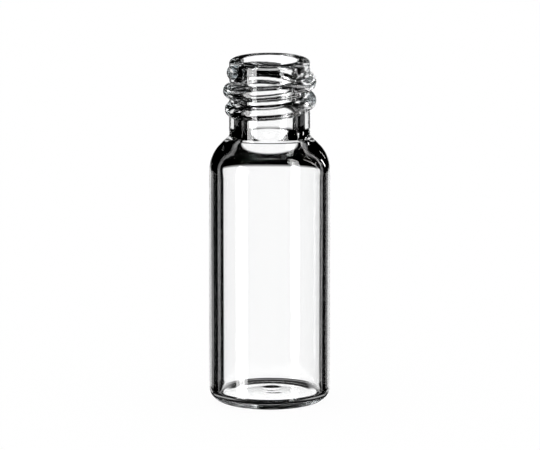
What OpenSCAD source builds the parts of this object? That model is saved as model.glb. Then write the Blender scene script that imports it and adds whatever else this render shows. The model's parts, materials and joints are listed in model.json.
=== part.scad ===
// Screw-neck sample vial, one piece of clear glass.
// Millimetres, +Z up the axis, origin at the centre of the face that it stands on.

/* [Body] */
// Outside diameter of the body
body_d = 11.6; // [10.4:0.1:15]
// Height from the standing face to the rim
height = 33.2; // [24:0.1:60]
// Thickness of the body wall
wall_t = 0.8; // [0.6:0.05:1.2]

/* [Base] */
// Thickness of the floor
floor_t = 0.7; // [0.5:0.05:2]
// Radius of the outside edge round the base
heel_r = 1.28; // [0.5:0.02:2.2]
// Radius inside, where the wall meets the floor
inner_heel_r = 0.5; // [0.2:0.05:1.5]
// Diameter of the shallow hollow under the base
punt_d = 6.6; // [3:0.1:7]
// Depth of the shallow hollow under the base
punt_h = 0.04; // [0.02:0.01:0.3]
// Diameter of the closing mark, a shallow dimple in the floor
mark_d = 1.9; // [1:0.1:3]
// Depth of the closing mark
mark_depth = 0.07; // [0.03:0.01:0.3]
// Place of the closing mark to the right of the axis
mark_x = 0.18; // [-1:0.02:1]
// Place of the closing mark behind the axis
mark_y = 1.95; // [-2.7:0.05:2.7]

/* [Shoulder] */
// Outside radius of the shoulder's curve
shoulder_r = 3.25; // [1.8:0.05:5]
// Angle through which the shoulder turns outside before it runs straight
shoulder_turn = 44; // [38:1:52]
// Outside radius where the shoulder meets the neck
neck_fillet_r = 0.5; // [0.2:0.05:1]
// Inside radius of the shoulder's curve
inner_shoulder_r = 2.35; // [1:0.05:3.5]
// Angle through which the shoulder turns inside before it runs straight
inner_turn = 51; // [44:1:56]
// Inside radius where the shoulder meets the bore, limited to what the shoulder's width leaves
bore_fillet_r = 3.05; // [0.5:0.05:4]
// Depth at which the shoulder starts to turn inside, below where it does outside
inner_drop = 0.15; // [0:0.05:1]

/* [Neck] */
// Outside diameter of the neck
neck_d = 7.76; // [7:0.02:8.6]
// Diameter of the bore
bore_d = 5.4; // [4:0.1:6]
// Length of the straight neck, from its foot to the rim
neck_h = 7.2; // [6.5:0.1:12]
// Radius of the rim's outside edge
rim_r = 0.4; // [0.1:0.05:0.6]
// Radius of the rim's inside edge
mouth_edge_r = 0.15; // [0.05:0.05:0.3]

/* [Thread] */
// Outside diameter over the thread
thread_d = 8.95; // [8.2:0.05:10]
// Rise of the thread in one turn
thread_pitch = 1.81; // [1.6:0.01:2.4]
// Width of the ridge at the neck
ridge_w = 1.5; // [0.8:0.05:1.7]
// Turns of the ridge between its two fading ends
thread_turns = 2.03; // [1:0.01:2.5]
// Depth of the upper end of the ridge below the rim
thread_drop = 1.1; // [0.95:0.05:2]
// Angle over which each end of the ridge fades into the neck
fade_turn = 50; // [20:5:90]
// Direction, seen from above, of the upper end of the ridge
thread_start = 205; // [0:5:355]

/* [Hidden] */
$fn = 96;
glass_tint = [0.86, 0.92, 0.93, 0.4];
// Cuts run this far past the glass
overrun = 1;

body_r = body_d / 2;
neck_r = neck_d / 2;
bore_r = bore_d / 2;
cavity_r = body_r - wall_t;

// A shoulder is a list: wide radius, narrow radius, radius of its curve, radius of its fillet, turn
outer_shoulder = [body_r, neck_r, shoulder_r, neck_fillet_r, shoulder_turn];
inner_fillet_room = (cavity_r - bore_r) / (1 - cos(inner_turn)) - inner_shoulder_r;
inner_fillet_r = min(bore_fillet_r, inner_fillet_room);
inner_shoulder = [cavity_r, bore_r, inner_shoulder_r, inner_fillet_r, inner_turn];

// Straight run of a shoulder between its two arcs, and its rise from the wall to the neck
function slope_run(s) = (s[0] - s[1] - (s[2] + s[3]) * (1 - cos(s[4]))) / sin(s[4]);
function shoulder_rise(s) = (s[2] + s[3]) * sin(s[4]) + slope_run(s) * cos(s[4]);

shoulder_z = height - neck_h - shoulder_rise(outer_shoulder);
inner_shoulder_z = shoulder_z - inner_drop;

// Radius of the sphere whose cap has this base radius and height
function cap_sphere_r(base_r, cap_h) = (pow(base_r, 2) + pow(cap_h, 2)) / (2 * cap_h);

// The ridge is a rounded bead, drawn as a strip of points round the neck
bead_points = 9;
steps_per_turn = 40;
// Depth of the ridge's root, as a share of the neck's wall
root_share = 0.5;
// Width that is left where the ridge has faded out, as a share of its full width
faded_w_share = 0.55;
// Depth at which a faded end lies under the neck's surface, as a share of the root's depth
sunk_share = 0.3;

root_depth = root_share * (neck_r - bore_r);
bead_h = (thread_d - neck_d) / 2;
sweep_turn = thread_turns * 360 + fade_turn;
sweep_steps = ceil(sweep_turn / 360 * steps_per_turn);

// Outline of a straight wall from base_z, a shoulder from start_z and a neck that ends at top_z
module necked_outline(shoulder, base_z, start_z, top_z) {
    wide_r = shoulder[0];
    narrow_r = shoulder[1];
    arc_r = shoulder[2];
    fillet_r = shoulder[3];
    turned = [cos(shoulder[4]), sin(shoulder[4])];
    foot_z = start_z + shoulder_rise(shoulder);
    arc_centre = [wide_r - arc_r, start_z];
    fillet_centre = [narrow_r + fillet_r, foot_z];
    translate([0, base_z]) square([wide_r, start_z - base_z]);
    translate([0, foot_z]) square([narrow_r, top_z - foot_z]);
    intersection() {
        translate(arc_centre) circle(r = arc_r);
        translate([0, start_z]) square([wide_r, arc_r]);
    }
    difference() {
        polygon([
            [0, start_z],
            arc_centre,
            arc_centre + arc_r * turned,
            fillet_centre - fillet_r * turned,
            [narrow_r, foot_z],
            [0, foot_z],
        ]);
        translate(fillet_centre) circle(r = fillet_r);
    }
}

// Rounded lower corner of an outline: the strip below a wall that starts at low_z + corner_r
module rounded_foot(wide_r, corner_r, low_z) {
    translate([0, low_z]) square([wide_r - corner_r, corner_r]);
    intersection() {
        translate([wide_r - corner_r, low_z + corner_r]) circle(r = corner_r);
        translate([0, low_z]) square([wide_r, corner_r]);
    }
}

// Half outline of the outside of the glass, with the hollow under the base cut out
module outside_outline() {
    punt_sphere_r = cap_sphere_r(punt_d / 2, punt_h);
    difference() {
        union() {
            rounded_foot(body_r, heel_r, 0);
            necked_outline(outer_shoulder, heel_r, shoulder_z, height - rim_r);
            translate([0, height - rim_r]) square([neck_r - rim_r, rim_r]);
            intersection() {
                translate([neck_r - rim_r, height - rim_r]) circle(r = rim_r);
                translate([0, height - rim_r]) square([neck_r, rim_r]);
            }
        }
        translate([0, punt_h - punt_sphere_r]) circle(r = punt_sphere_r);
    }
}

// Half outline of the cavity, from the flat floor to the rounded edge of the mouth
module cavity_outline() {
    mouth_r = bore_r + mouth_edge_r;
    edge_z = height - mouth_edge_r;
    difference() {
        union() {
            rounded_foot(cavity_r, inner_heel_r, floor_t);
            necked_outline(inner_shoulder, floor_t + inner_heel_r, inner_shoulder_z, height + overrun);
            translate([0, edge_z]) square([mouth_r, mouth_edge_r + overrun]);
        }
        translate([mouth_r, edge_z]) circle(r = mouth_edge_r);
    }
}

// Shallow round dip into the floor, where the tube was closed
module closing_mark() {
    mark_sphere_r = cap_sphere_r(mark_d / 2, mark_depth);
    translate([mark_x, mark_y, floor_t])
    intersection() {
        translate([0, 0, mark_sphere_r - mark_depth]) sphere(r = mark_sphere_r);
        cylinder(r = mark_d, h = 2 * mark_depth, center = true);
    }
}

// Hollow of the vial, with the closing mark sunk into its floor
module cavity() {
    rotate_extrude() cavity_outline();
    closing_mark();
}

// Height of the ridge above the neck, as a share of the full height, along its sweep
function fade_share(turn) =
    let (near_end = min(turn, sweep_turn - turn) / fade_turn)
    near_end >= 1 ? 1 : (1 - cos(180 * near_end)) / 2;

// One section of the ridge: a bead outline from its lower to its upper edge, then its buried root
function ridge_section(turn) =
    let (
        share = fade_share(turn),
        direction = thread_start - turn,
        middle_z = height - thread_drop - thread_pitch * turn / 360,
        half_w = ridge_w / 2 * (faded_w_share + (1 - faded_w_share) * share),
        edge_r = neck_r - sunk_share * root_depth,
        crest_h = (bead_h + sunk_share * root_depth) * share
    )
    [
        for (i = [0 : bead_points - 1])
            let (across = 180 * i / (bead_points - 1))
            ridge_point(edge_r + crest_h * sin(across), direction, middle_z - half_w * cos(across)),
        ridge_point(neck_r - root_depth, direction, middle_z + half_w),
        ridge_point(neck_r - root_depth, direction, middle_z - half_w),
    ];

function ridge_point(radius, direction, z) = [radius * cos(direction), radius * sin(direction), z];

// Rounded right-hand ridge that winds down the neck and fades at both ends
module thread_ridge() {
    ring = bead_points + 2;
    points = [
        for (i = [0 : sweep_steps])
            for (p = ridge_section(sweep_turn * i / sweep_steps)) p
    ];
    sides = [
        for (i = [0 : sweep_steps - 1])
            for (k = [0 : ring - 1])
                let (
                    a = i * ring + k,
                    b = i * ring + (k + 1) % ring,
                    c = b + ring,
                    d = a + ring
                )
                each [[a, c, b], [a, d, c]]
    ];
    upper_cap = [for (k = [0 : ring - 1]) k];
    lower_cap = [for (k = [ring - 1 : -1 : 0]) sweep_steps * ring + k];
    polyhedron(points, concat(sides, [upper_cap], [lower_cap]));
}

module vial() {
    color(glass_tint)
    union() {
        difference() {
            rotate_extrude() outside_outline();
            cavity();
        }
        thread_ridge();
    }
}

vial();
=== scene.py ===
"""Looks of the clear glass sample vial: its fine mesh, its glass and a bright-field studio."""

import json
import math

import bmesh
import bpy
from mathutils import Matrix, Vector


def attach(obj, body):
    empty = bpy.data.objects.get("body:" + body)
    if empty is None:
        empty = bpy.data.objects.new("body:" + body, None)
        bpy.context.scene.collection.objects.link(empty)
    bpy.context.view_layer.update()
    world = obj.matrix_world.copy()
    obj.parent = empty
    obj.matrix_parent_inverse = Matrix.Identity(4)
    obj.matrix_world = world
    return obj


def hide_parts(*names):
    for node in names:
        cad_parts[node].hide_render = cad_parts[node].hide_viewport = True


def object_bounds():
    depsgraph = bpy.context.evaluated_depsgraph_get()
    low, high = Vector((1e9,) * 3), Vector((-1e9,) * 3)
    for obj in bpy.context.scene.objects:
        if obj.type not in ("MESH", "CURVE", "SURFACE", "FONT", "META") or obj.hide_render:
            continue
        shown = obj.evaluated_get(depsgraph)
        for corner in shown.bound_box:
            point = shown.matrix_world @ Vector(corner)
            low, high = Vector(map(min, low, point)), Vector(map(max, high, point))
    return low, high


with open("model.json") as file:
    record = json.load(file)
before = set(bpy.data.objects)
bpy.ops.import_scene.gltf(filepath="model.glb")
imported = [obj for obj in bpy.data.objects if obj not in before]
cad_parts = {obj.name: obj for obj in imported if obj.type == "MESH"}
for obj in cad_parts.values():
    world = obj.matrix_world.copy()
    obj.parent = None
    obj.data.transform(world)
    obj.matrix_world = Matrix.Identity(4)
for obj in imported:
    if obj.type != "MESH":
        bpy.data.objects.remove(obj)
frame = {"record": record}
cad_low, cad_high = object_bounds()

MM = 0.001
WHITE = (1, 1, 1, 1)
MOUNTS = {m["name"]: m for m in frame["record"]["mounts"]}

# Sizes of the vial, in metres, from the frame where the frame has them
HEIGHT = cad_high.z
BODY_R = MOUNTS["rack_seat"]["dims"]["r_mm"] * MM
BORE_R = MOUNTS["mouth"]["dims"]["r_mm"] * MM
THREAD_R = MOUNTS["screw_finish"]["dims"]["r_mm"] * MM
NECK_R = 3.88 * MM
WALL_T = 0.8 * MM
FLOOR_T = 0.7 * MM
HEEL_R = 1.28 * MM
INNER_HEEL_R = 0.5 * MM
PUNT_R = 3.3 * MM
PUNT_H = 0.04 * MM
NECK_H = 7.2 * MM
RIM_R = 0.4 * MM
MOUTH_EDGE_R = 0.15 * MM

# Shoulder, outside and inside: an arc off the wall, a straight slope and a fillet into the neck
OUTER_SHOULDER = {
    "wide_r": BODY_R,
    "narrow_r": NECK_R,
    "arc_r": 3.25 * MM,
    "fillet_r": 0.5 * MM,
    "turn": math.radians(44),
}
INNER_SHOULDER = {
    "wide_r": BODY_R - WALL_T,
    "narrow_r": BORE_R,
    "arc_r": 2.35 * MM,
    "fillet_r": 3.05 * MM,
    "turn": math.radians(51),
}
INNER_DROP = 0.15 * MM
# A drawn tube is never quite even: its wall is this much thinner towards the right
WALL = {"Uneven wall": 0.06 * MM}

# Thread: a rounded right-hand bead that fades into the neck and levels out at both ends.
# It sweeps as far round as the solid's ridge, whose ends fade over SOLID_FADE degrees
THREAD_DROP = 1.1 * MM
THREAD_TURNS = 2.03
SOLID_FADE = 50
THREAD = {
    "Top": HEIGHT - THREAD_DROP,
    "Pitch": 1.81 * MM,
    "Bead height": THREAD_R - NECK_R,
    "Bead width": 1.5 * MM,
    "Sweep": math.radians(THREAD_TURNS * 360 + SOLID_FADE),
    "Start": math.radians(205),
    "Fade": math.radians(62),
    "Run-out": math.radians(110),
    "Run-out rise": 0.38 * MM,
    "Faded width share": 0.55,
    "Sunk depth": 0.177 * MM,
    "Root blend": 0.12 * MM,
}

# Closing mark, where the tube was sealed: a dimple in the floor and two faint dips before it.
# Each has its place, half its length from side to side, half its width from front to back, and its depth
MARK_DIPS = {
    "Dimple": {
        "X": 0.18 * MM,
        "Y": 1.95 * MM,
        "Length": 0.95 * MM,
        "Width": 0.95 * MM,
        "Depth": 0.07 * MM,
    },
    "Middle dip": {
        "X": 0.22 * MM,
        "Y": 0.44 * MM,
        "Length": 0.85 * MM,
        "Width": 0.3 * MM,
        "Depth": 0.008 * MM,
    },
    "Near dip": {
        "X": 0.4 * MM,
        "Y": -0.45 * MM,
        "Length": 0.95 * MM,
        "Width": 0.45 * MM,
        "Depth": 0.03 * MM,
    },
}
MARK = {f"{dip} {size}": value for dip, sizes in MARK_DIPS.items() for size, value in sizes.items()}

# Fineness of the mesh: segments round the axis, and steps along each stretch of the half outline
ROUND_SEGMENTS = 240
PUNT_STEPS = 16
HEEL_STEPS = 28
WALL_STEPS = 4
SHOULDER_STEPS = 28
SLOPE_STEPS = 3
THREAD_STEPS = 112
RIM_STEPS = 12
MOUTH_EDGE_STEPS = 8
INNER_HEEL_STEPS = 24
FLOOR_STEPS = 44
MERGE_GAP = 1e-8

# Camera, from the outline of the vial in the photograph (540 x 450 pixels)
PHOTO_W, PHOTO_H = 540, 450
CAMERA_RANGE = 750 * MM
CAMERA_RISE = math.radians(11.9)
PIXELS_PER_M = 10440
MIDDLE_PX = (269.66, 229.78)
SENSOR = 36
CLIP_NEAR, CLIP_FAR = 0.01, 10

# Sockets of a Mix node that mixes colours
MIX_SHARE, MIX_FIRST, MIX_SECOND, MIXED = 0, 6, 7, 2


class Wire:
    """A node socket that takes part in Python expressions; each operation adds a node."""

    def __init__(self, tree, socket=None):
        self.tree = tree
        self.socket = socket

    def node(self, kind, settings=None, sockets=None, output=0):
        """Adds a node, sets its settings first, then its sockets, and gives one of its outputs."""
        made = self.tree.nodes.new(kind)
        for name, value in (settings or {}).items():
            setattr(made, name, value)
        for key, value in (sockets or {}).items():
            if isinstance(value, Wire):
                self.tree.links.new(value.socket, made.inputs[key])
            else:
                made.inputs[key].default_value = value
        return Wire(self.tree, made.outputs[output] if made.outputs else None)

    def math(self, operation, *values):
        return self.node("ShaderNodeMath", {"operation": operation}, dict(enumerate(values)))

    def __add__(self, other):
        return self.math("ADD", self, other)

    def __radd__(self, other):
        return self.math("ADD", other, self)

    def __sub__(self, other):
        return self.math("SUBTRACT", self, other)

    def __rsub__(self, other):
        return self.math("SUBTRACT", other, self)

    def __mul__(self, other):
        return self.math("MULTIPLY", self, other)

    def __rmul__(self, other):
        return self.math("MULTIPLY", other, self)

    def __truediv__(self, other):
        return self.math("DIVIDE", self, other)

    def __rtruediv__(self, other):
        return self.math("DIVIDE", other, self)

    def __abs__(self):
        return self.math("ABSOLUTE", self)

    def clamp(self):
        return self.node("ShaderNodeClamp", None, {"Value": self})


def above(value, edge, soft):
    """Wire that rises from 0 to 1 where the value passes an edge of this softness."""
    return ((value - edge) / soft + 0.5).clamp()


def object_place(start):
    """Wires of the three Object coordinates."""
    where = start.node("ShaderNodeTexCoord", output="Object")
    return [start.node("ShaderNodeSeparateXYZ", None, {0: where}, output=i) for i in range(3)]


def add_object(name, data):
    """A new object in the scene."""
    made = bpy.data.objects.new(name, data)
    bpy.context.scene.collection.objects.link(made)
    return made


def arc(centre, radius, start, end, steps):
    """Points of an arc in the half plane (r, z), from one angle in degrees to another."""
    turns = [math.radians(start + (end - start) * i / steps) for i in range(steps + 1)]
    return [(centre[0] + radius * math.cos(t), centre[1] + radius * math.sin(t)) for t in turns]


def run(start, end, steps):
    """Points of a straight run, both ends included."""
    return [
        tuple(a + (b - a) * i / steps for a, b in zip(start, end))
        for i in range(steps + 1)
    ]


def shallow_cap(edge_r, height, edge_z, steps):
    """Points of a shallow spherical cap, from the axis to its edge."""
    sphere_r = (edge_r ** 2 + height ** 2) / (2 * height)
    half = math.degrees(math.asin(edge_r / sphere_r))
    return arc((0, edge_z + height - sphere_r), sphere_r, 90, 90 - half, steps)


def shoulder_rise(wide_r, narrow_r, arc_r, fillet_r, turn):
    """Height of a shoulder, from the top of the wall to the foot of the neck."""
    both = arc_r + fillet_r
    slope = (wide_r - narrow_r - both * (1 - math.cos(turn))) / math.sin(turn)
    return both * math.sin(turn) + slope * math.cos(turn)


SHOULDER_Z = HEIGHT - NECK_H - shoulder_rise(**OUTER_SHOULDER)
INNER_SHOULDER_Z = SHOULDER_Z - INNER_DROP


def shoulder_line(shape, start_z):
    """Points from the top of a wall over the shoulder to the foot of the neck."""
    turn = math.degrees(shape["turn"])
    over_centre = (shape["wide_r"] - shape["arc_r"], start_z)
    into_centre = (shape["narrow_r"] + shape["fillet_r"], start_z + shoulder_rise(**shape))
    over = arc(over_centre, shape["arc_r"], 0, turn, SHOULDER_STEPS)
    into = arc(into_centre, shape["fillet_r"], 180 + turn, 180, SHOULDER_STEPS)
    return over + run(over[-1], into[0], SLOPE_STEPS)[1:-1] + into


def uneven_share(z):
    """How much of the wall's unevenness a point inside has: all in the body, none in the bore."""
    rise = (z - INNER_SHOULDER_Z) / shoulder_rise(**INNER_SHOULDER)
    return 0.5 + 0.5 * math.cos(math.pi * min(max(rise, 0), 1))


def outside_lines():
    """Half outline outside, in two stretches: from under the base to the neck, and up the neck."""
    outside = shallow_cap(PUNT_R, PUNT_H, 0, PUNT_STEPS)
    outside += arc((BODY_R - HEEL_R, HEEL_R), HEEL_R, -90, 0, HEEL_STEPS)
    outside += run((BODY_R, HEEL_R), (BODY_R, SHOULDER_Z), WALL_STEPS)[1:-1]
    outside += shoulder_line(OUTER_SHOULDER, SHOULDER_Z)
    neck = run(outside.pop(), (NECK_R, HEIGHT - RIM_R), THREAD_STEPS)
    return outside, neck


def rim_line():
    """Half outline of the rim, from its outside edge to the edge of the mouth."""
    outer = arc((NECK_R - RIM_R, HEIGHT - RIM_R), RIM_R, 0, 90, RIM_STEPS)
    mouth_centre = (BORE_R + MOUTH_EDGE_R, HEIGHT - MOUTH_EDGE_R)
    return outer[1:] + arc(mouth_centre, MOUTH_EDGE_R, 90, 180, MOUTH_EDGE_STEPS)


def inside_lines(cavity_r):
    """Half outline inside, in two stretches: down to the floor, and over the floor to the axis."""
    floor_r = cavity_r - INNER_HEEL_R
    inside = arc((floor_r, FLOOR_T + INNER_HEEL_R), INNER_HEEL_R, -90, 0, INNER_HEEL_STEPS)
    inside += shoulder_line(INNER_SHOULDER, INNER_SHOULDER_Z)
    floor = run((0, FLOOR_T), (floor_r, FLOOR_T), FLOOR_STEPS)
    return inside[::-1], floor[-2::-1]


def meridian():
    """Points of the whole half outline, and what of the thread, floor and uneven wall each has."""
    cavity_r = INNER_SHOULDER["wide_r"]
    outside, neck = outside_lines()
    rim = rim_line()
    inside, floor = inside_lines(cavity_r)
    stretches = (outside, neck, rim, inside, floor)
    points = [point for stretch in stretches for point in stretch]
    even = [0.0] * (len(outside) + len(neck) + len(rim))
    masks = {
        "threaded": [float(stretch is neck) for stretch in stretches for _ in stretch],
        "floored": [float(stretch is floor) for stretch in stretches for _ in stretch],
        "uneven": even + [uneven_share(z) for _, z in inside] + [r / cavity_r for r, _ in floor],
    }
    return points, masks


def outline_value(start, outline, row, kind, value):
    """A value of the half outline, at the outline point that each point of the grid belongs to."""
    return start.node(
        "GeometryNodeSampleIndex",
        {"data_type": kind},
        {"Geometry": outline, "Value": value, "Index": row},
    )


def threaded_radius(start, size, radius, level, angle):
    """Radius of the neck with the bead of the thread raised on it."""
    # How far round the thread this point lies, and how far above or below the bead's middle
    first_turn = start.math("WRAP", size["Start"] - angle, math.tau, 0.0)
    level_turn = (size["Top"] - level) / size["Pitch"] * math.tau
    laps = start.math("ROUND", (level_turn - first_turn) / math.tau)
    turn = first_turn + laps * math.tau
    from_top = (1 - turn / size["Run-out"]).clamp()
    from_foot = (1 - (size["Sweep"] - turn) / size["Run-out"]).clamp()
    levelled = size["Run-out rise"] * (from_foot * from_foot - from_top * from_top)
    offset = level - size["Top"] + size["Pitch"] * turn / math.tau - levelled

    # The bead is half an ellipse across, and it narrows and sinks where it fades
    near_end = (start.math("MINIMUM", turn, size["Sweep"] - turn) / size["Fade"]).clamp()
    share = 0.5 - 0.5 * start.math("COSINE", near_end * math.pi)
    narrow = size["Faded width share"]
    half_width = 0.5 * size["Bead width"] * (narrow + (1 - narrow) * share)
    across = offset / half_width
    bulge = start.math("SQRT", (1 - across * across).clamp())
    crest = (size["Bead height"] + size["Sunk depth"]) * share
    bead = radius - size["Sunk depth"] + crest * bulge
    return start.math("SMOOTH_MAX", radius, bead, size["Root blend"])


def dipped_level(size, x, y, level, floored):
    """Height of a point, with each dip of the closing mark sunk smoothly into the floor."""
    for dip in MARK_DIPS:
        along = (x - size[dip + " X"]) / size[dip + " Length"]
        across = (y - size[dip + " Y"]) / size[dip + " Width"]
        inside = (1 - along * along - across * across).clamp()
        level = level - floored * inside * inside * size[dip + " Depth"]
    return level


def lathe_inputs(tree):
    """Makes the tree's named sockets and gives a wire for each input."""
    tree.interface.new_socket("Outline", in_out="INPUT", socket_type="NodeSocketGeometry")
    tree.interface.new_socket("Points", in_out="INPUT", socket_type="NodeSocketInt")
    tree.interface.new_socket("Segments", in_out="INPUT", socket_type="NodeSocketInt")
    for name in {**THREAD, **MARK, **WALL}:
        tree.interface.new_socket(name, in_out="INPUT", socket_type="NodeSocketFloat")
    tree.interface.new_socket("Vial", in_out="OUTPUT", socket_type="NodeSocketGeometry")
    given = tree.nodes.new("NodeGroupInput")
    return {socket.name: Wire(tree, socket) for socket in given.outputs if socket.name}


def threaded_lathe_tree(glass):
    """Node tree that turns a half outline round the axis and raises the thread on it."""
    tree = bpy.data.node_groups.new("threaded_lathe", "GeometryNodeTree")
    size = lathe_inputs(tree)
    start = Wire(tree)

    # A grid of points, outline by segments, and the outline point that each belongs to
    columns = size["Segments"] + 1
    grid = start.node(
        "GeometryNodeMeshGrid", None, {"Vertices X": size["Points"], "Vertices Y": columns}
    )
    index = start.node("GeometryNodeInputIndex")
    row = start.math("FLOOR", index / columns)
    angle = (row * columns - index) * math.tau / size["Segments"]
    position = start.node("GeometryNodeInputPosition")
    place = outline_value(start, size["Outline"], row, "FLOAT_VECTOR", position)
    threaded, floored, uneven = (
        outline_value(
            start,
            size["Outline"],
            row,
            "FLOAT",
            start.node("GeometryNodeInputNamedAttribute", {"data_type": "FLOAT"}, {"Name": name}),
        )
        for name in ("threaded", "floored", "uneven")
    )
    radius = start.node("ShaderNodeSeparateXYZ", None, {0: place}, output=0)
    level = start.node("ShaderNodeSeparateXYZ", None, {0: place}, output=2)

    # The thread on the neck, the uneven wall, and the closing mark in the floor
    raised = threaded_radius(start, size, radius, level, angle)
    radius = radius + threaded * (raised - radius)
    rightward = 0.5 + 0.5 * start.math("COSINE", angle)
    radius = radius + uneven * rightward * rightward * size["Uneven wall"]
    x = radius * start.math("COSINE", angle)
    y = radius * start.math("SINE", angle)
    level = dipped_level(size, x, y, level, floored)

    position = start.node("ShaderNodeCombineXYZ", None, {"X": x, "Y": y, "Z": level})
    shaped = start.node("GeometryNodeSetPosition", None, {"Geometry": grid, "Position": position})
    closed = start.node(
        "GeometryNodeMergeByDistance", None, {"Geometry": shaped, "Distance": MERGE_GAP}
    )
    smooth = start.node("GeometryNodeSetShadeSmooth", None, {"Geometry": closed})
    real = start.node("GeometryNodeRealizeInstances", None, {"Geometry": smooth})
    dressed = start.node("GeometryNodeSetMaterial", None, {"Geometry": real, "Material": glass})
    start.node("NodeGroupOutput", None, {"Vial": dressed})
    return tree


def make_vial(glass):
    """The vial as one plain, closed mesh."""
    points, masks = meridian()
    mesh = bpy.data.meshes.new("vial_glass")
    mesh.from_pydata(
        [(r, 0, z) for r, z in points], [(i, i + 1) for i in range(len(points) - 1)], []
    )
    for name, mask in masks.items():
        mesh.attributes.new(name, "FLOAT", "POINT").data.foreach_set("value", mask)
    vial = add_object("vial_glass", mesh)
    lathe = vial.modifiers.new("threaded_lathe", "NODES")
    lathe.node_group = threaded_lathe_tree(glass)
    values = {"Points": len(points), "Segments": ROUND_SEGMENTS, **THREAD, **MARK, **WALL}
    for item in lathe.node_group.interface.items_tree:
        if item.name in values:
            lathe[item.identifier] = values[item.name]
    depsgraph = bpy.context.evaluated_depsgraph_get()
    vial.data = bpy.data.meshes.new_from_object(vial.evaluated_get(depsgraph))
    vial.modifiers.clear()
    return vial


def new_material(name):
    """A node material with no nodes yet, and a wire to start from."""
    material = bpy.data.materials.new(name)
    material.use_nodes = True
    material.node_tree.nodes.clear()
    return material, Wire(material.node_tree)


# Finish of the drawn tube: lines round and along it, their height, and the glass between them
DRAW_LINES = {"around": 9.0, "along": 30.0, "detail": 3.0, "height": 0.004 * MM, "strength": 0.12}
DRAWN_FROM, DRAWN_TO = 2.5 * MM, 21.0 * MM
DRAWN_FADE = 2.0 * MM
CLEAREST = (1.0, 1.0, 1.0, 1.0)
FAINTEST_TINT = (0.982, 0.984, 0.985, 1.0)
POLISH = 0.0035
# The rolled thread is less polished: its extra roughness, and the heights over which it sets in
ROLLED = {"roughness": 0.12, "rise": 0.1 * MM, "foot": HEIGHT - NECK_H, "foot_soft": 0.2 * MM}
GLASS_IOR = 1.5
DEPTH_TINT = (0.72, 0.79, 0.82, 1.0)
DEPTH_TINT_DENSITY = 8.0


def make_glass():
    """Clear borosilicate glass: faint upright lines on the drawn tube, and a faint cool tint."""
    material, start = new_material("clear_glass")
    x, y, z = object_place(start)
    out = start.math("SQRT", x * x + y * y)
    around = {
        "X": x / out * DRAW_LINES["around"],
        "Y": y / out * DRAW_LINES["around"],
        "Z": z * DRAW_LINES["along"],
    }
    grain = {
        "Vector": start.node("ShaderNodeCombineXYZ", None, around),
        "Scale": 1.0,
        "Detail": DRAW_LINES["detail"],
    }
    lines = start.node("ShaderNodeTexNoise", None, grain)
    drawn = ((z - DRAWN_FROM) / DRAWN_FADE).clamp() * ((DRAWN_TO - z) / DRAWN_FADE).clamp()
    on_neck = ((z - ROLLED["foot"]) / ROLLED["foot_soft"]).clamp()
    rolled = on_neck * ((out - NECK_R) / ROLLED["rise"]).clamp()
    relief = start.node(
        "ShaderNodeBump",
        None,
        {
            "Strength": DRAW_LINES["strength"],
            "Distance": DRAW_LINES["height"],
            "Height": lines * drawn,
        },
    )
    tint = start.node(
        "ShaderNodeMix",
        {"data_type": "RGBA"},
        {MIX_SHARE: lines, MIX_FIRST: CLEAREST, MIX_SECOND: FAINTEST_TINT},
        output=MIXED,
    )
    surface = start.node(
        "ShaderNodeBsdfPrincipled",
        None,
        {
            "Base Color": tint,
            "Roughness": lines * POLISH + rolled * ROLLED["roughness"],
            "IOR": GLASS_IOR,
            "Transmission Weight": 1.0,
            "Normal": relief,
        },
    )
    depth = start.node(
        "ShaderNodeVolumeAbsorption", None, {"Color": DEPTH_TINT, "Density": DEPTH_TINT_DENSITY}
    )
    start.node("ShaderNodeOutputMaterial", None, {"Surface": surface, "Volume": depth})
    return material


# Bright-field studio. Directions in degrees: azimuth 0 straight behind the vial, minus to the left,
# and rise above the horizon. The camera looks about 12 degrees down
FIELD = {"left": -14.4, "right": 19.0, "low": -28.0, "high": -4.2, "level": 1.14}
FIELD_SIDE_SOFT = 1.2
FIELD_HIGH_SOFT = 3.5
GREY = {"near": 23.0, "far": 29.5, "level": 0.024}
SOFT_BOX = {"left": -131.5, "right": -113.0, "low": -45.0, "high": 30.0, "level": 11.0}
BOX_SOFT = 1.5
# Two narrow strips at the right draw thin bright lines down the right shoulder
STRIPS = (
    {"left": 33.0, "right": 35.0, "low": 4.0, "high": 16.0, "level": 3.5},
    {"left": 60.5, "right": 62.5, "low": 6.0, "high": 45.0, "level": 4.0},
)
STRIP_SOFT = 1.5
DOME_R = 2.0
DOME_SEGMENTS, DOME_RINGS = 64, 32


def studio_material():
    """Light of the studio as the glass sees it: a white field, grey beside it, soft box and strips."""
    material, start = new_material("studio_light")
    x, y, z = object_place(start)
    azimuth = start.math("ARCTAN2", x, y) * math.degrees(1)
    rise = start.math("ARCSINE", z / DOME_R) * math.degrees(1)

    def panel(left, right, low, high, level, side_soft, high_soft):
        wide = above(azimuth, left, side_soft) * (1 - above(azimuth, right, side_soft))
        return wide * above(rise, low, side_soft) * (1 - above(rise, high, high_soft)) * level

    aside = abs(azimuth)
    near = above(aside, GREY["near"], FIELD_SIDE_SOFT)
    far = above(aside, GREY["far"], FIELD_SIDE_SOFT)
    grey = near * (1 - far) * (1 - above(rise, FIELD["high"], FIELD_HIGH_SOFT)) * GREY["level"]
    light = panel(**FIELD, side_soft=FIELD_SIDE_SOFT, high_soft=FIELD_HIGH_SOFT) + grey
    light = light + panel(**SOFT_BOX, side_soft=BOX_SOFT, high_soft=BOX_SOFT)
    for strip in STRIPS:
        light = light + panel(**strip, side_soft=STRIP_SOFT, high_soft=STRIP_SOFT)
    glow = start.node("ShaderNodeEmission", None, {"Color": light, "Strength": 1.0})
    start.node("ShaderNodeOutputMaterial", None, {"Surface": glow})
    return material


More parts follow.
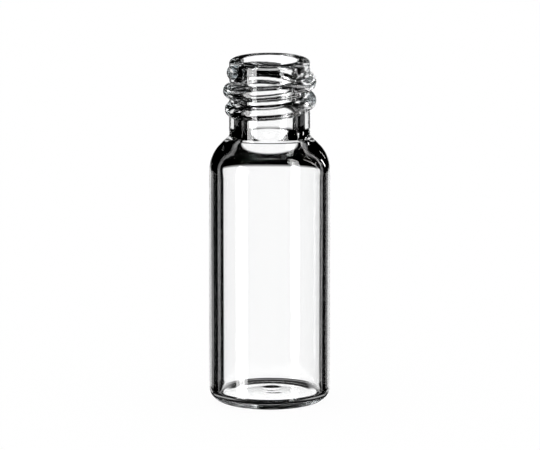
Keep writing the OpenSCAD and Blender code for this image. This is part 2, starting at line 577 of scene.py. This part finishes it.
def show_only_in_glass(light):
    """Leaves a light to what the glass reflects and lets through."""
    light.visible_camera = False
    light.visible_diffuse = False
    light.visible_shadow = False


def make_studio(camera):
    """A dome of light that only the glass sees; it goes round the vial with the camera."""
    mesh = bpy.data.meshes.new("studio_dome")
    shape = bmesh.new()
    bmesh.ops.create_uvsphere(shape, u_segments=DOME_SEGMENTS, v_segments=DOME_RINGS, radius=DOME_R)
    shape.to_mesh(mesh)
    shape.free()
    mesh.materials.append(studio_material())
    dome = add_object("studio_dome", mesh)
    dome.location = (0, 0, HEIGHT / 2)
    dome.parent = camera
    dome.matrix_parent_inverse = camera.matrix_world.inverted()
    show_only_in_glass(dome)


# Ground close to the vial, as the glass sees it, glowing with a painted pool of light and painted
# shadow: places, radii and levels
GROUND = {"radius": 8.3 * MM, "drop": 0.02 * MM, "soft": 0.2 * MM}
GROUND_POINTS = 96
PAINTED_LIGHT_POOL = {"behind": 1.35 * MM, "half_width": 4.65 * MM, "half_depth": 4.3 * MM, "level": 2.0}
SIDE_GAP = {"aside": 5.0 * MM, "aside_soft": 2.4 * MM, "behind": 2.0 * MM, "behind_soft": 1.0 * MM}
BACK_SHADE = {"radius": 4.25 * MM, "level": 0.035}
FRONT_SHADE = 0.004
# Thin rings of painted light, before and behind the vial: inner radius, outer radius and level
FRONT_RING = (5.2 * MM, 5.6 * MM, 0.5)
BACK_RING = (6.9 * MM, 7.25 * MM, 0.5)
FRONT_RING_GAP = {"aside": 3.4 * MM, "soft": 2.0 * MM}


def painted_ground_material():
    """Painted pool of light under the base with painted shadow round it, open towards the field at both
    sides.
    """
    material, start = new_material("ground_painted_light_and_shadow")
    x, y, _ = object_place(start)

    def distance(along, across):
        return start.math("SQRT", along * along + across * across)

    soft = GROUND["soft"]
    out = distance(x, y)
    depth = PAINTED_LIGHT_POOL["half_depth"]
    oval = distance(x * (depth / PAINTED_LIGHT_POOL["half_width"]), y - PAINTED_LIGHT_POOL["behind"])
    # Painted pool of light under the base; behind the base, painted shadow cuts it back
    light_pool = 1 - above(oval, depth, soft)
    behind = above(y, SIDE_GAP["behind"], SIDE_GAP["behind_soft"])
    aside = above(abs(x), SIDE_GAP["aside"], SIDE_GAP["aside_soft"])
    light_pool = light_pool * (1 - behind * (1 - aside) * above(out, BACK_SHADE["radius"], soft))

    def ring(inner, outer, level):
        return (above(out, inner, soft) - above(out, outer, soft)) * level

    front = ring(*FRONT_RING) * above(abs(x), FRONT_RING_GAP["aside"], FRONT_RING_GAP["soft"])
    back = ring(*BACK_RING) + BACK_SHADE["level"]
    # Painted shadow round the base, darker before it than behind, with thin rings of painted light
    light = FRONT_SHADE + front + behind * (back - front)
    light = light + light_pool * (PAINTED_LIGHT_POOL["level"] - light)
    glow = start.node("ShaderNodeEmission", None, {"Color": light, "Strength": 1.0})
    clear = start.node("ShaderNodeBsdfTransparent")
    shown = (1 - above(out, GROUND["radius"], soft)) * (1 - behind * aside * (1 - light_pool))
    surface = start.node("ShaderNodeMixShader", None, {0: shown, 1: clear, 2: glow})
    start.node("ShaderNodeOutputMaterial", None, {"Surface": surface})
    return material


def make_painted_ground():
    """A small disc of ground just under the base, glowing with a painted pool of light and painted
    shadow, that only the glass sees.
    """
    mesh = bpy.data.meshes.new("ground_painted_light_and_shadow")
    reach = GROUND["radius"] + GROUND["soft"]
    turns = [math.tau * i / GROUND_POINTS for i in range(GROUND_POINTS)]
    edge = [(reach * math.cos(t), reach * math.sin(t), 0) for t in turns]
    mesh.from_pydata(edge, [], [tuple(range(GROUND_POINTS))])
    mesh.materials.append(painted_ground_material())
    ground = add_object("ground_painted_light_and_shadow", mesh)
    ground.location = (0, 0, -GROUND["drop"])
    show_only_in_glass(ground)


FLOOR_HALF = 0.6
FLOOR_SHADOW_SHARE = 0.04


def make_floor():
    """Plain white floor that keeps a faint shadow."""
    material, start = new_material("white_floor")
    glow = start.node("ShaderNodeEmission", None, {"Color": WHITE, "Strength": 1.0})
    matt = start.node("ShaderNodeBsdfDiffuse", None, {"Color": WHITE})
    surface = start.node("ShaderNodeMixShader", None, {0: FLOOR_SHADOW_SHARE, 1: glow, 2: matt})
    start.node("ShaderNodeOutputMaterial", None, {"Surface": surface})
    mesh = bpy.data.meshes.new("floor")
    corners = [(-1, -1), (1, -1), (1, 1), (-1, 1)]
    mesh.from_pydata([(FLOOR_HALF * x, FLOOR_HALF * y, 0) for x, y in corners], [], [(0, 1, 2, 3)])
    mesh.materials.append(material)
    floor = add_object("floor", mesh)
    floor.visible_transmission = False
    floor.visible_glossy = False


def make_world():
    """Plain white surroundings."""
    world = bpy.data.worlds.new("white_studio")
    bpy.context.scene.world = world
    world.use_nodes = True
    world.node_tree.nodes.clear()
    start = Wire(world.node_tree)
    light = start.node("ShaderNodeBackground", None, {"Color": WHITE, "Strength": 1.0})
    start.node("ShaderNodeOutputWorld", None, {"Surface": light})


def make_camera():
    """A long lens at the photograph's angle, with the vial's middle at its place in the frame."""
    lens = bpy.data.cameras.new("camera")
    lens.sensor_width = SENSOR
    lens.lens = SENSOR * PIXELS_PER_M * CAMERA_RANGE / PHOTO_W
    lens.clip_start, lens.clip_end = CLIP_NEAR, CLIP_FAR
    back = Vector((0, -math.cos(CAMERA_RISE), math.sin(CAMERA_RISE)))
    up = Vector((0, math.sin(CAMERA_RISE), math.cos(CAMERA_RISE)))
    right = Vector((1, 0, 0))
    aim = Vector((0, 0, HEIGHT / 2))
    aim += right * (PHOTO_W / 2 - MIDDLE_PX[0]) / PIXELS_PER_M
    aim += up * (MIDDLE_PX[1] - PHOTO_H / 2) / PIXELS_PER_M
    camera = add_object("camera", lens)
    camera.location = aim + back * CAMERA_RANGE
    camera.rotation_euler = (math.pi / 2 - CAMERA_RISE, 0, 0)
    bpy.context.scene.camera = camera
    bpy.context.view_layer.update()
    return camera


LIGHT_BOUNCES = 256


def set_light_paths():
    """Enough bounces for light to cross every wall of the glass and to run on inside the thread."""
    cycles = bpy.context.scene.cycles
    cycles.max_bounces = LIGHT_BOUNCES
    cycles.transmission_bounces = LIGHT_BOUNCES
    cycles.glossy_bounces = LIGHT_BOUNCES
    cycles.caustics_reflective = False
    cycles.caustics_refractive = False
    cycles.blur_glossy = 0.0


bpy.context.scene.view_settings.view_transform = "Standard"
set_light_paths()
make_world()
make_floor()
make_studio(make_camera())
make_painted_ground()

vial = make_vial(make_glass())
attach(vial, "root")
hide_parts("vial")
